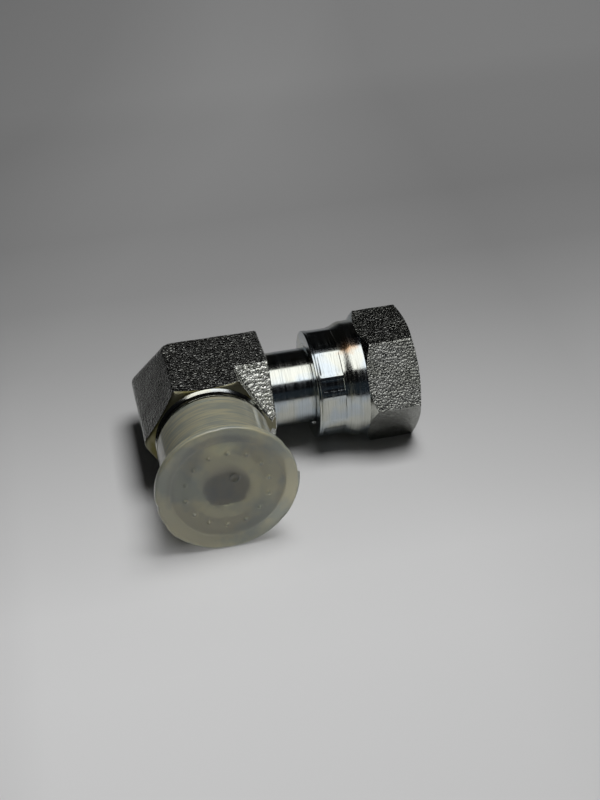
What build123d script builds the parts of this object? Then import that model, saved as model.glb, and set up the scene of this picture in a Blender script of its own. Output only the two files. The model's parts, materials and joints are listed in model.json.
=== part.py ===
# Hydraulic elbow adapter: forged 90 degree body, crimped swivel nut, push-on protective cap
#
# Frame: the origin is where the two port axes cross. The male thread points along -Y, the swivel
# nut along +X and the flat top of the forging along +Z. Millimetres.

import os
from math import cos, radians, tan

from build123d import *

# Thread of both ends, 9/16 inch with 18 threads to the inch
thread_radius = 7.14        # outside of the male thread
thread_minor_radius = 6.40  # crests of the nut's thread

# Flow passage
bore_radius = 3.20
drill_overrun = 0.8         # how far the male drill runs past the neck bore's wall
drill_point_angle = 118

# Forged body: one hexagon swept round a square mitre
block_flats = 16.20         # across the flats of both legs
male_leg_reach = 0.35       # machined face of the male leg beyond the inner corner of the mitre
neck_leg_reach = 0.50       # machined face of the neck leg beyond that corner
outer_bulge = 0.50          # the outer corners of the hexagon stand out by this much at the parting line
outer_mitre_radius = 2.0    # rounding of the ridge over the outer corner
parting_radius = 1.8        # rounding of the long outer corners at the parting line
forged_edge_radius = 0.45   # rounding of the long edges
corner_turn_angle = 30      # turned chamfer over the corners of the male leg's face
corner_turn_inset = 0.10    # the turned face is smaller than the flats by this much

# Male end, from the machined face outwards
boss_inset = 0.30           # the turned boss lies inside the flats by this much
boss_length = 1.30
relief_length = 1.90
relief_depth = 0.95         # below the outside of the thread
thread_length = 7.45
seat_angle = 37             # half angle of the sealing cone
seat_nose_radius = 5.30     # flat end of the cone
seat_cone_length = 1.55

# Swivel neck and its nose
neck_radius = 5.70
nose_shoulder_radius = 6.75  # what the crimped lip of the nut pulls on
nose_shoulder_length = 1.90
nose_shoulder_bevel = 0.70
nose_tip_radius = 6.10
nose_tip_length = 1.70
nose_seat_radius = 5.25      # wide end of the sealing cone in the nose

# Swivel nut, stations along +X
nut_start = 16.50            # crimped end face
nut_crimp_length = 4.00
nut_flare_length = 2.00
nut_barrel_length = 1.50     # plain turned part between flare and hexagon
nut_hex_length = 7.90
nut_collar_wall = 1.25       # crimped collar over the shoulder's cavity
nut_barrel_wall = 1.39       # turned barrel over the thread relief
nut_flats = 17.46
nut_turn = 2.1               # the nut stands turned by this angle about +X
nut_rear_rise = 0.90         # length of the turned chamfer over the rear corners
nut_mouth_radius = 8.45      # flat of the mouth face
nut_mouth_rise = 0.55        # length of the chamfer over the mouth corners
nut_lip_edge = 0.25          # chamfer of the crimped end
nut_lip_length = 3.40        # crimped wall that closes round the neck
nut_lip_countersink = 0.35
nut_thread_relief_depth = 0.30
nut_thread_relief_length = 1.0
nut_mouth_countersink = 0.75
jaw_count = 8                # flats that the crimping jaws left round the collar
jaw_depth = 0.11
jaw_ridge = 1.00             # ridge left between two neighbouring jaws
jaw_margin = 0.50            # collar's end face to the jaw marks
jaw_turn = 24.5              # angle of the first ridge from +Y

# Clearances
swivel_radial_clearance = 0.09   # nut lip round the neck
swivel_axial_clearance = 0.12    # lip to the shoulder it pulls on
cavity_clearance = 0.20          # nut cavity round the shoulder
cap_thread_clearance = 0.06      # cap sleeve round the thread
cap_end_clearance = 0.06         # cap end wall to the nose of the thread

# Protective cap
cap_wall = 1.10
cap_end_wall = 1.00
cap_flange_radius = 10.00
cap_flange_thickness = 1.20
cap_flange_chamfer = 0.35
cap_sleeve_gap = 0.90            # boss to the rim of the sleeve

# Worked out from the sizes above
block_half = block_flats / 2
block_corner = block_half / cos(radians(30))
male_leg_length = block_corner + male_leg_reach
neck_leg_length = block_corner + neck_leg_reach
turn_slope = tan(radians(corner_turn_angle))
boss_radius = block_half - boss_inset
relief_radius = thread_radius - relief_depth
boss_end = male_leg_length + boss_length
relief_end = boss_end + relief_length
thread_end = relief_end + thread_length
male_end = thread_end + seat_cone_length
cone_base_radius = seat_nose_radius + seat_cone_length * tan(radians(seat_angle))

drill_end = bore_radius + drill_overrun
drill_tip = bore_radius / tan(radians(drill_point_angle / 2))

nut_lip_bore = neck_radius + swivel_radial_clearance
lip_end = nut_start + nut_lip_length
shoulder_start = lip_end + swivel_axial_clearance
shoulder_end = shoulder_start + nose_shoulder_length
nose_end = shoulder_end + nose_tip_length
seat_depth = (nose_seat_radius - bore_radius) / tan(radians(seat_angle))
cavity_radius = nose_shoulder_radius + cavity_clearance
cavity_bevel = nose_shoulder_bevel * (cavity_radius - nut_lip_bore) / (nose_shoulder_radius - neck_radius)
cavity_end = shoulder_end + 3 * cavity_clearance
nut_collar_radius = cavity_radius + nut_collar_wall
crimp_end = nut_start + nut_crimp_length
flare_end = crimp_end + nut_flare_length
hex_start = flare_end + nut_barrel_length
mouth = hex_start + nut_hex_length
nut_half = nut_flats / 2
nut_corner = nut_half / cos(radians(30))
thread_relief_radius = thread_radius + nut_thread_relief_depth
nut_barrel_radius = thread_relief_radius + nut_barrel_wall
thread_relief_end = cavity_end + nut_thread_relief_length
thread_start = thread_relief_end + thread_relief_radius - thread_minor_radius

cap_bore = thread_radius + cap_thread_clearance
cap_outer = cap_bore + cap_wall
cap_rim = boss_end + cap_sleeve_gap
cap_floor = male_end + cap_end_clearance
cap_face = cap_floor + cap_end_wall
cap_flange_back = cap_face - cap_flange_thickness

os.makedirs("parts", exist_ok=True)

# Elbow body: one forging with its turned and drilled ends
with BuildPart() as elbow_body:
    # forged block: the hexagon runs along one port axis, turns square and runs along the other
    with BuildLine() as port_axes:
        Polyline((neck_leg_length, 0, 0), (0, 0, 0), (0, -male_leg_length, 0))
    with BuildSketch(Plane.YZ.offset(neck_leg_length)):
        with BuildLine():
            Polyline(
                (-block_corner, 0),
                (-block_corner / 2, -block_half),
                (block_corner / 2, -block_half),
                (block_corner + outer_bulge, 0),
                (block_corner / 2, block_half),
                (-block_corner / 2, block_half),
                close=True,
            )
        make_face()
    sweep(path=port_axes.wire(), transition=Transition.RIGHT)
    outer_ridges = elbow_body.edges().filter_by(
        lambda edge: edge.center().Y > block_half / 4 and abs(edge.center().X + edge.center().Y) < 0.01
    )
    fillet(outer_ridges, outer_mitre_radius)
    back_edges = elbow_body.edges().filter_by(Axis.X).filter_by(lambda edge: edge.center().Y > 0)
    side_edges = elbow_body.edges().filter_by(Axis.Y).filter_by(lambda edge: edge.center().X < 0)
    outer_edges = back_edges + side_edges
    fillet(outer_edges.filter_by(lambda edge: abs(edge.center().Z) > block_half / 2), forged_edge_radius)
    parting_edges = elbow_body.edges().filter_by(
        lambda edge: abs(edge.center().Z) < 0.01 and max(edge.center().Y, -edge.center().X) > block_half
    )
    fillet(parting_edges, parting_radius)

    # turned chamfer over the corners of the male leg's machined face
    turned_face = block_half - corner_turn_inset
    turned_out = 2 * block_corner
    turned_back = (turned_out - turned_face) * turn_slope
    with BuildSketch(Plane.XY) as male_envelope:
        with BuildLine():
            Polyline(
                (0, turned_out),
                (turned_out, turned_out),
                (turned_out, turned_back - male_leg_length),
                (turned_face, -male_leg_length),
                (0, -male_leg_length),
                close=True,
            )
        make_face()
    revolve(axis=Axis.Y, mode=Mode.INTERSECT)

    # male end: boss, thread relief, thread and sealing cone
    with BuildSketch(Plane.XY) as male_profile:
        with BuildLine():
            Polyline(
                (0, 0),
                (boss_radius, 0),
                (boss_radius, -boss_end),
                (relief_radius, -boss_end),
                (relief_radius, relief_depth - relief_end),
                (thread_radius, -relief_end),
                (thread_radius, thread_radius - cone_base_radius - thread_end),
                (cone_base_radius, -thread_end),
                (seat_nose_radius, -male_end),
                (0, -male_end),
                close=True,
            )
        make_face()
    revolve(axis=Axis.Y)

    # neck and the nose that the nut is crimped round
    with BuildSketch(Plane.XY) as neck_profile:
        with BuildLine():
            Polyline(
                (0, 0),
                (0, neck_radius),
                (shoulder_start, neck_radius),
                (shoulder_start + nose_shoulder_bevel, nose_shoulder_radius),
                (shoulder_end, nose_shoulder_radius),
                (shoulder_end, nose_tip_radius),
                (nose_end, nose_tip_radius),
                (nose_end, 0),
                close=True,
            )
        make_face()
    revolve(axis=Axis.X)

    # drilled passages and the seat in the nose: the male drill runs past the crossing of the axes,
    # and the neck's drill stops there, where it breaks into the other bore
    with BuildSketch(Plane.XY) as male_drill:
        with BuildLine():
            Polyline(
                (0, -male_end),
                (bore_radius, -male_end),
                (bore_radius, drill_end),
                (0, drill_end + drill_tip),
                close=True,
            )
        make_face()
    revolve(axis=Axis.Y, mode=Mode.SUBTRACT)
    with BuildSketch(Plane.XY) as neck_drill:
        with BuildLine():
            Polyline(
                (nose_end, 0),
                (nose_end, nose_seat_radius),
                (nose_end - seat_depth, bore_radius),
                (0, bore_radius),
                (0, 0),
                close=True,
            )
        make_face()
    revolve(axis=Axis.X, mode=Mode.SUBTRACT)

elbow_body.part.label = "elbow_body"
export_step(elbow_body.part, "parts/elbow_body.step")

# Swivel nut: turned and crimped skirt, hexagon and threaded mouth
with BuildPart() as swivel_nut:
    with BuildSketch(Plane.YZ.offset(hex_start)):
        RegularPolygon(nut_half, 6, major_radius=False, rotation=nut_turn)
    extrude(amount=nut_hex_length)
    # turned chamfers over the corners, wide at the back and narrow at the mouth
    with BuildSketch(Plane.XY) as nut_envelope:
        with BuildLine():
            Polyline(
                (hex_start, 0),
                (hex_start, nut_barrel_radius),
                (hex_start + nut_rear_rise, nut_corner),
                (mouth - nut_mouth_rise, nut_corner),
                (mouth, nut_mouth_radius),
                (mouth, 0),
                close=True,
            )
        make_face()
    revolve(axis=Axis.X, mode=Mode.INTERSECT)
    # skirt: crimped collar that flares out to the plain turned barrel
    with BuildSketch(Plane.XY) as skirt_profile:
        with BuildLine():
            Polyline(
                (nut_start, 0),
                (nut_start, nut_collar_radius - nut_lip_edge),
                (nut_start + nut_lip_edge, nut_collar_radius),
                (crimp_end, nut_collar_radius),
                (flare_end, nut_barrel_radius),
                (hex_start, nut_barrel_radius),
                (hex_start, 0),
                close=True,
            )
        make_face()
    revolve(axis=Axis.X)
    # marks of the crimping jaws, a ring of shallow recesses with ridges between them
    with BuildSketch(Plane.YZ.offset(nut_start + jaw_margin)) as jaw_marks:
        Circle(nut_collar_radius + jaw_ridge)
        Circle(nut_collar_radius - jaw_depth, mode=Mode.SUBTRACT)
        with PolarLocations(0, jaw_count, start_angle=jaw_turn):
            Rectangle(
                nut_collar_radius + 2 * jaw_ridge,
                jaw_ridge,
                align=(Align.MIN, Align.CENTER),
                mode=Mode.SUBTRACT,
            )
    extrude(amount=nut_crimp_length - jaw_margin, mode=Mode.SUBTRACT)
    # bore: countersunk lip, cavity for the shoulder, thread relief and thread crests
    with BuildSketch(Plane.XY) as nut_bore:
        with BuildLine():
            Polyline(
                (nut_start, 0),
                (nut_start, nut_lip_bore + nut_lip_countersink),
                (nut_start + nut_lip_countersink, nut_lip_bore),
                (lip_end, nut_lip_bore),
                (lip_end + cavity_bevel, cavity_radius),
                (cavity_end, cavity_radius),
                (cavity_end, thread_relief_radius),
                (thread_relief_end, thread_relief_radius),
                (thread_start, thread_minor_radius),
                (mouth - nut_mouth_countersink, thread_minor_radius),
                (mouth, thread_minor_radius + nut_mouth_countersink),
                (mouth, 0),
                close=True,
            )
        make_face()
    revolve(axis=Axis.X, mode=Mode.SUBTRACT)

swivel_nut.part.label = "swivel_nut"
export_step(swivel_nut.part, "parts/swivel_nut.step")

# Protective cap: moulded sleeve over the thread with a wide flange at its closed end
with BuildPart() as protective_cap:
    with BuildSketch(Plane.XY) as cap_profile:
        with BuildLine():
            Polyline(
                (0, -cap_face),
                (cap_flange_radius, -cap_face),
                (cap_flange_radius, -cap_flange_back),
                (cap_outer, -cap_flange_back),
                (cap_outer, -cap_rim),
                (cap_bore, -cap_rim),
                (cap_bore, -cap_floor),
                (0, -cap_floor),
                close=True,
            )
        make_face()
    revolve(axis=Axis.Y)
    flange_edges = protective_cap.edges().filter_by(GeomType.CIRCLE).filter_by(
        lambda edge: edge.radius > cap_flange_radius - 0.01
    )
    chamfer(flange_edges, cap_flange_chamfer)

protective_cap.part.label = "protective_cap"
export_step(protective_cap.part, "parts/protective_cap.step")
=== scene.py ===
# %% [markdown]
# # Hydraulic elbow adapter
#
# This lesson dresses a small steel pipe fitting: a forged hexagonal elbow, a threaded end under a
# translucent push-on cap, and a swivel nut that is crimped onto a turned neck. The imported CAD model
# is loaded first. It gives the frame, the bodies that move and the sizes, and every surface made
# here is worked out with numpy and laid exactly over it.

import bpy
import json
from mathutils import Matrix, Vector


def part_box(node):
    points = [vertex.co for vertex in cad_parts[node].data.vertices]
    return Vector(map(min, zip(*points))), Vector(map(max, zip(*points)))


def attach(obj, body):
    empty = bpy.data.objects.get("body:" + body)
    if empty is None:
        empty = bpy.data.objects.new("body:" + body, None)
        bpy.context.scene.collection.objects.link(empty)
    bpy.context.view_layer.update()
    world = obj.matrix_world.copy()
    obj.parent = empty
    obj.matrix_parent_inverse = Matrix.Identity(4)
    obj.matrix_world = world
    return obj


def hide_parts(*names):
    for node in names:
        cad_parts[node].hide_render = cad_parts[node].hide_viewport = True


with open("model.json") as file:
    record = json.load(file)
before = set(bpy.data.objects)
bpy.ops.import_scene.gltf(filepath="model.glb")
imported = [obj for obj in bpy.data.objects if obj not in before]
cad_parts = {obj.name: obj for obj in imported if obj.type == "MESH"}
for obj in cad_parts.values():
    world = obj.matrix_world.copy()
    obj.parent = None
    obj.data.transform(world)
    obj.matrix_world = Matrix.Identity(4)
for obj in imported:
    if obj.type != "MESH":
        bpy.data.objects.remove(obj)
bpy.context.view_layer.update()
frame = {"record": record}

# %% [markdown]
# ## Sizes
#
# Blender works in metres and the fitting is drawn in millimetres, so one name, mm, carries a
# drawing size into the scene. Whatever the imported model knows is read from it, and the sizes
# between those ends are the drawing's own. The frame has its origin where the two port axes cross,
# the thread along -Y, the nut along +X and the flat top of the forging along +Z.

# %% Sizes read from the frame
import json

import bmesh
import bpy
import numpy as np
from mathutils import Quaternion, Vector

mm = 0.001
pi = np.pi
cos30 = np.cos(pi / 6)
tan30 = np.tan(pi / 6)

mounts = {mount["name"]: mount for mount in frame["record"]["mounts"]}
elbow_low, elbow_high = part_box("elbow_body")
nut_low, nut_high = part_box("swivel_nut")
cap_low, cap_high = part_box("protective_cap")

block_half = elbow_high.z                                   # half the block's width across its flats
male_end = -elbow_low.y                                     # tip of the sealing cone
nose_end = elbow_high.x
nut_start = nut_low.x
mouth = nut_high.x
thread_radius = mounts["male_thread"]["dims"]["r_mm"] * mm
crest_radius = mounts["swivel_thread"]["dims"]["r_mm"] * mm  # inside the nut's thread
cap_face = -cap_low.y
cap_rim = -cap_high.y
flange_radius = cap_high.z
print(f"block {2000 * block_half:.2f} mm across flats")
print(f"nut from {1000 * nut_start:.2f} to {1000 * mouth:.2f} mm")

# %% [markdown]
# ## A surface from a grid of points
#
# Every piece is a grid: rows follow a profile and columns run round it. A grid that closes both
# ways is a ring, like a tube whose bore is drawn as well, and that is what most turned pieces are.
# Where a row has shrunk to one point, as at the middle of a disc, its doubles are merged, so the
# mesh stays closed. The volume under the faces tells whether they look outwards.

# %% Mesh from a grid
merged_within = 0.0002 * mm


def enclosed_volume(points, faces):
    """Volume inside a closed grid: a sixth of the triple product of the corners, summed over both
    triangles of each face."""
    a, b, c, d = (points[faces[:, corner]] for corner in range(4))
    return (np.cross(a, b) * c).sum() / 6 + (np.cross(a, c) * d).sum() / 6


def new_object(name, data):
    """Makes an object from a mesh, a lamp or a camera and links it to the scene."""
    made = bpy.data.objects.new(name, data)
    bpy.context.scene.collection.objects.link(made)
    return made


def grid_piece(name, grid, finish, ring=True, crease=28):
    """Makes an object from rows x columns points. Columns always join round, and rows join too where
    ring is true. finish gives the material index of the face that starts at each point, or at each
    row. Edges that turn by more than `crease` degrees are shown sharp."""
    rows, columns = grid.shape[:2]
    index = np.arange(rows * columns).reshape(rows, columns)
    here, after = (index, np.roll(index, -1, 0)) if ring else (index[:-1], index[1:])
    faces = np.stack([here, np.roll(here, -1, 1), np.roll(after, -1, 1), after], -1).reshape(-1, 4)
    points = grid.reshape(-1, 3)
    volume = enclosed_volume(points, faces)
    if volume < 0:
        faces = faces[:, ::-1]
    mesh = bpy.data.meshes.new(name)
    mesh.from_pydata(points, [], faces)
    finish = finish if finish.ndim == 2 else np.repeat(finish[:, None], columns, 1)
    mesh.polygons.foreach_set("material_index", finish[: len(here)].reshape(-1).astype(np.int32))
    doubles = bmesh.new()
    doubles.from_mesh(mesh)
    bmesh.ops.remove_doubles(doubles, verts=doubles.verts, dist=merged_within)
    doubles.to_mesh(mesh)
    doubles.free()
    mesh.shade_smooth()
    mesh.set_sharp_from_angle(angle=np.radians(crease))
    triangles = 2 * len(faces)
    print(f"{name}: {rows} rows x {columns} columns, {triangles} triangles, {abs(volume) / mm**3:.0f} mm3")
    return new_object(name, mesh)


# %% [markdown]
# ## Profiles and where the rows go
#
# A turned piece starts as a profile of a few corners. No real corner is perfectly sharp, so each
# is eased by a small curve that catches the light, and long straight runs get extra rows between.
# Rows and columns are dear, so they crowd together where the shape turns and spread out elsewhere.

# %% Profile helpers
def smooth_step(x):
    """0 up to 0, 1 from 1 on, and 3x² - 2x³ between them, which starts and ends level."""
    x = np.clip(x, 0, 1)
    return x * x * (3 - 2 * x)


def eased(corners, ease, steps=5):
    """Rounds each inner corner of a profile. The curve is the parabola (1-s)²·A + 2s(1-s)·P + s²·B,
    where P is the corner and A and B lie `ease` before and after it on the two runs, though never
    more than 0.45 of a run away."""
    corners = np.asarray(corners, float)
    runs = np.diff(corners, axis=0)
    lengths = np.linalg.norm(runs, axis=1, keepdims=True)
    along = runs / lengths
    reach = np.broadcast_to(np.asarray(ease, float), len(corners) - 2)[:, None]
    reach = np.minimum(reach, 0.45 * np.minimum(lengths[:-1], lengths[1:]))
    middle = corners[1:-1]
    s = np.linspace(0, 1, steps)[None, :, None]
    before = (middle - along[:-1] * reach)[:, None]
    beyond = (middle + along[1:] * reach)[:, None]
    curve = (1 - s) ** 2 * before + 2 * s * (1 - s) * middle[:, None] + s**2 * beyond
    return np.vstack([corners[:1], curve.reshape(-1, 2), corners[-1:]])


def filled(profile, step):
    """Adds points to a profile about every `step`, and keeps its own points. None is added within a
    third of a step of one of them."""
    travelled = np.concatenate([[0], np.cumsum(np.linalg.norm(np.diff(profile, axis=0), axis=1))])
    even = np.arange(0, travelled[-1], step)
    nearest = np.abs(even[:, None] - travelled[None, :]).min(1)
    stations = np.union1d(travelled, even[nearest > step / 3])
    return np.stack([np.interp(stations, travelled, profile[:, axis]) for axis in (0, 1)], 1)


def crowded(start, stop, count, places, reach, crowding):
    """`count` stations from start to stop that crowd at the given places. Their density is 1 plus a
    bell of width `reach` and height `crowding` at each place, and a station is where the running
    total of it passes an even step."""
    fine = np.linspace(start, stop, 40 * count)
    bells = np.exp(-(((fine[:, None] - np.asarray(places)[None, :]) / reach) ** 2)).sum(1)
    total = np.concatenate([[0], np.cumsum(1 + crowding * bells[1:])])
    return np.interp(np.linspace(0, total[-1], count), total, fine)


# %% [markdown]
# ## The hexagon
#
# Both the forging and the nut are hexagons with rounded corners. Seen from the axis, a side is a
# line: it faces the direction f at distance d, so it lies d / cos(a - f) away at the angle a. A
# rounded corner is the far side of a circle that touches both its sides. The columns of a surface
# crowd at the corners, so a rounding gets several faces while the flats stay cheap.

# %% Polygon in polar form
def polygon(angle, facing, distance, rounding):
    """Distance from the axis to a polygon. Side k faces `facing` at `distance`, and corner k, between
    sides k and k + 1, is a circle of radius r. Its centre c is r inside both sides, and its far side
    is at c·u + sqrt(r² - |c|² + (c·u)²) in the direction u."""
    facing, distance = np.asarray(facing, float), np.broadcast_to(distance, len(facing))
    rounding = np.broadcast_to(rounding, len(facing))
    sides = np.stack([np.cos(facing), np.sin(facing)], -1)
    ray = np.stack([np.cos(angle), np.sin(angle)], -1)
    toward = ray @ sides.T
    away = np.where(toward > 0.1, distance / np.maximum(toward, 0.1), np.inf).min(-1)
    for k, radius in enumerate(rounding):
        pair = [k, (k + 1) % len(facing)]
        centre = np.linalg.solve(sides[pair], distance[pair] - radius)
        first, last = (np.arctan2(*(centre + radius * sides[side])[::-1]) for side in pair)
        inside = (angle - first) % (2 * pi) < (last - first) % (2 * pi)
        along = ray @ centre
        far = along + np.sqrt(np.maximum(radius**2 - centre @ centre + along**2, 0))
        away = np.where(inside, far, away)
    return away


def round_columns(count, places, reach, crowding):
    """Angles of a full turn, crowded at the given places, with the last column one step before the first."""
    wrapped = np.concatenate([np.asarray(places) + turn for turn in (-2 * pi, 0, 2 * pi)])
    return crowded(0, 2 * pi, count + 1, wrapped, reach, crowding)[:-1]


# %% [markdown]
# ## The skin of a forging
#
# A forged face is never flat: it waves by a few hundredths of a millimetre, and shot blasting
# leaves a grain on top. Both are made by the same function, a sum of waves that run in random
# directions. Long waves give the unevenness of the die and short ones the coarse grain. The fine
# grain is smaller than the mesh can hold, so the material adds it later.

# %% Uneven skin
usual_peak = 1.6             # of a sum of sines, in units of its own spread
die_wave_length = 5.0 * mm
die_wave_height = 0.030 * mm
grain_length = 0.55 * mm
grain_height = 0.007 * mm


def ripples(points, wavelength, seed, waves=24):
    """A smooth random height, about -1 to 1: the sum of `waves` sines sin(k·p + phase) that run in
    random directions."""
    chance = np.random.default_rng(seed)
    directions = chance.normal(size=(waves, 3))
    directions /= np.linalg.norm(directions, axis=1, keepdims=True)
    numbers = 2 * pi / wavelength * chance.uniform(0.7, 1.4, (waves, 1)) * directions
    phases = chance.uniform(0, 2 * pi, waves)
    return np.sin(points @ numbers.T + phases).sum(-1) * np.sqrt(2 / waves) / usual_peak


def outward(grid, inside):
    """Unit normals of a grid: the cross product of its two gradients, turned away from the points
    `inside`."""
    along = np.gradient(grid, axis=0)
    round_it = np.roll(grid, -1, 1) - np.roll(grid, 1, 1)
    normal = np.cross(along, round_it)
    normal /= np.maximum(np.linalg.norm(normal, axis=-1, keepdims=True), 1e-15)
    return normal * np.sign((normal * (grid - inside)).sum(-1, keepdims=True))


def forged_skin(grid, inside, seed):
    """Moves a grid in and out along its normals: a slow wave of the die, and the grain of the
    blasting. Both fade out over the three rows at each end."""
    row = np.arange(len(grid))
    fade = smooth_step(np.minimum(row, row[::-1]) / 3)[:, None, None]
    height = die_wave_height * ripples(grid, die_wave_length, seed)
    height = height + grain_height * ripples(grid, grain_length, seed + 1)
    return grid + outward(grid, inside) * height[..., None] * fade


# %% [markdown]
# ## Forged block
#
# The block is one hexagon carried along both port axes through a square corner. Across the path,
# w is the distance to the outer side and z the height. A point of the section runs up the male leg
# at x = -w, turns through a quarter circle and runs out along the neck leg at y = w. The quarter
# circle is wide on the outside, where the die left a soft ridge, and tight in the inner notch. The
# outer corner stands out a little where the dies part. The male leg's face was turned, with a cone
# that takes off the hexagon's corners. Near the notch that cone also cuts the neck leg, so there
# the skin is pushed back to it. The bore is drawn too, so the ring closes through it. The inner
# sides, the outer sides and the flats on top and below take a finish each, and the cone a fourth.

# %% Forged block
male_leg = 9.703 * mm        # crossing of the axes to the male leg's machined face
neck_leg = 9.853 * mm
turned_face = 8.0 * mm       # radius of the male leg's machined face
corner_turn = tan30          # slope of the cone over its corners
bore_radius = 3.2 * mm
outer_bulge = 0.50 * mm      # the outer corner beyond that of an even hexagon
ridge_rounding = 1.66 * mm   # over the outer corner of the elbow
notch_rounding = 0.25 * mm
long_edge = 0.45 * mm
inner_edge = 0.30 * mm
parting_edge = 1.80 * mm     # outer corner, where the dies part
face_edge = 0.22 * mm        # round the neck leg's face
outer_bow = 0.20 * mm        # the neck leg's outer side bows out by this
inner_finish, cone_finish, outer_finish, flat_finish = range(4)


def block_section(angle):
    """Distance from the path to the block's skin: an even hexagon, but for the two sides that meet at
    the outer corner, at angle 0."""
    corner = block_half / cos30
    lean = np.arctan2(corner / 2 + outer_bulge, block_half)
    facing = np.radians([-90, 0, 0, 90, 150, 210]) + [0, -lean, lean, 0, 0, 0]
    distance = np.array([block_half] * 6)
    distance[1:3] = (corner + outer_bulge) * np.cos(lean)
    rounding = [long_edge, parting_edge, long_edge, long_edge, inner_edge, long_edge]
    return polygon(angle, facing, distance, rounding)


def cone_place(across, up):
    """How far out the cone over the male leg's corners lets the skin stand: y on that cone at the
    point across, up."""
    return (np.hypot(across, up) - turned_face) * corner_turn - male_leg


def forged_block():
    """Rows: skin of the male leg, quarter circle and neck leg, then neck face, bore and male face.
    Columns go round the section from its outer corner over the top."""
    corners = np.concatenate([np.arange(6) * pi / 3, [-0.12, 0.12]])
    angle = round_columns(336, corners, 0.03, 8)
    radius = block_section(angle)
    w, z = radius * np.cos(angle), radius * np.sin(angle)
    start, end = cone_place(w, z), neck_leg - face_edge
    rounding = notch_rounding + (ridge_rounding - notch_rounding) * smooth_step(0.5 + w / block_half)
    rounding = np.clip(0.8 * np.minimum(w - start, end + w), 0.02 * mm, rounding)

    def placed(x, y, height):
        """Rows of points from three arrays that spread out to the same shape."""
        return np.stack(np.broadcast_arrays(x, y, height), -1)

    leg = crowded(0, 1, 92, [0], 0.02, 4)[:, None]
    turn = np.linspace(0, pi / 2, 16)[1:-1, None]
    skin = np.concatenate([
        placed(-w, start + leg * np.maximum(w - rounding - start, 0.02 * mm), z),
        placed(-w + rounding * (1 - np.cos(turn)), w - rounding * (1 - np.sin(turn)), z),
        placed(end + leg[::-1] * (rounding - w - end), w, z),
    ])
    along_neck = np.clip(0.6 + skin[..., 0] / (22 * mm), 0, 1)
    skin[..., 1] += outer_bow * smooth_step(w / block_half) * np.sin(pi * along_neck) ** 2
    skin = forged_skin(skin, np.clip(skin * [1, 1, 0], -0.5 * block_half, 0.5 * block_half), seed=3)
    cone = cone_place(skin[..., 0], skin[..., 2])
    turned = skin[..., 1] < cone + 0.01 * mm
    skin[..., 1] = np.maximum(skin[..., 1], cone)

    # the neck leg's face from its rounded edge inwards, and the bore's mouth
    share = np.array([0.3, 0.7, 1, 1, 1, 1, 1])[:, None]
    inset = np.array([0.1, 0.45, 1, 0, 0, 0, 0])[:, None] * face_edge
    reach = np.broadcast_to(radius - inset, (7, len(angle))).copy()
    reach[3:] = np.array([[6.5], [3.6], [3.45], [3.2]]) * mm
    sink = np.array([0, 0, 0, 0, 0, 0, 0.25])[:, None] * mm
    across, up = reach * np.cos(angle), reach * np.sin(angle)
    neck_rows = placed(end + share * face_edge - sink, across, up)
    neck_rows[..., 1] = np.maximum(neck_rows[..., 1], cone_place(neck_rows[..., 0], neck_rows[..., 2]))

    # the male leg's end: the cone, the turned face and the bore's mouth
    share = np.array([0.35, 0.75, 1, 1, 1, 1])[:, None]
    cone_reach = radius + share[:3] * (turned_face - radius)
    reach = np.concatenate([cone_reach, np.full((3, len(angle)), bore_radius)])
    reach[3:5] = np.array([[6.5], [3.45]]) * mm
    sink = np.array([0, 0, 0, 0, 0, 0.25])[:, None] * mm
    along = start - share * (male_leg + start) + sink
    male_rows = placed(-reach * np.cos(angle), along, reach * np.sin(angle))
    middle = bore_radius * placed(-np.cos(angle), np.cos(angle), np.sin(angle))[None]
    grid = np.concatenate([skin, neck_rows, middle, male_rows[::-1]])
    finish = np.full(grid.shape[:2], cone_finish)
    finish[: len(skin) + 2] = inner_finish
    from_corner = np.minimum(angle, 2 * pi - angle)
    finish[: len(skin) + 2, from_corner < 2 * pi / 3] = flat_finish
    finish[: len(skin) + 2, from_corner < pi / 3] = outer_finish
    finish[: len(skin)][turned] = cone_finish
    return grid_piece("forged_block", grid, finish, crease=70)


block = forged_block()

# %% [markdown]
# ## Turned ends
#
# The male end and the neck are lathe work, so each is a profile carried round an axis: a point at
# distance r from the axis and place s along it goes to (r·cos, s, r·sin). The thread is real
# geometry too. Its ridge is a helix, which is a slanted line in the unrolled grid, so the phase
# s / pitch + angle / turn is the same all along one ridge, and the height over the root is read
# from how far that phase is from the nearest whole number. The smaller of profile and thread is
# kept, so the chamfers and the relief cut the thread off as a lathe does.

# %% Revolving a profile, with or without a thread
pitch = 25.4 / 18 * mm
flank = np.sqrt(3)           # a 60 degree thread rises this much for each step along its axis
thread_flat = pitch / 8      # at its crest
thread_depth = flank * (pitch / 2 - thread_flat)


def thread_height(turns):
    """Height over the root of a 60 degree thread: crests at whole turns, straight flanks, and a flat
    crest and root."""
    from_crest = np.abs((turns + 0.5) % 1 - 0.5) * pitch
    return thread_depth - np.clip(flank * (from_crest - thread_flat / 2), 0, thread_depth)


def revolved(station, radius, angle, axis):
    """Points with the station along port axis x or y, and radius·cos and radius·sin across it."""
    s, r, a = np.broadcast_arrays(station, radius, angle)
    parts = (s, r * np.cos(a), r * np.sin(a)) if axis == "x" else (r * np.cos(a), s, r * np.sin(a))
    return np.stack(parts, -1)


# %% Male end
boss_radius = 7.80 * mm
boss_end = 11.0 * mm
root_rise = 0.34 * mm        # hollow cone between the turned face and the boss
root_length = 0.62 * mm
relief_radius = 6.19 * mm
relief_end = 12.9 * mm
thread_end = 20.35 * mm      # the sealing cone starts here
cone_base = 6.47 * mm
cone_nose = 5.30 * mm
rooted = 0.3 * mm            # a turned end starts this far inside the forging
bore_break = 0.25 * mm


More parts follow.
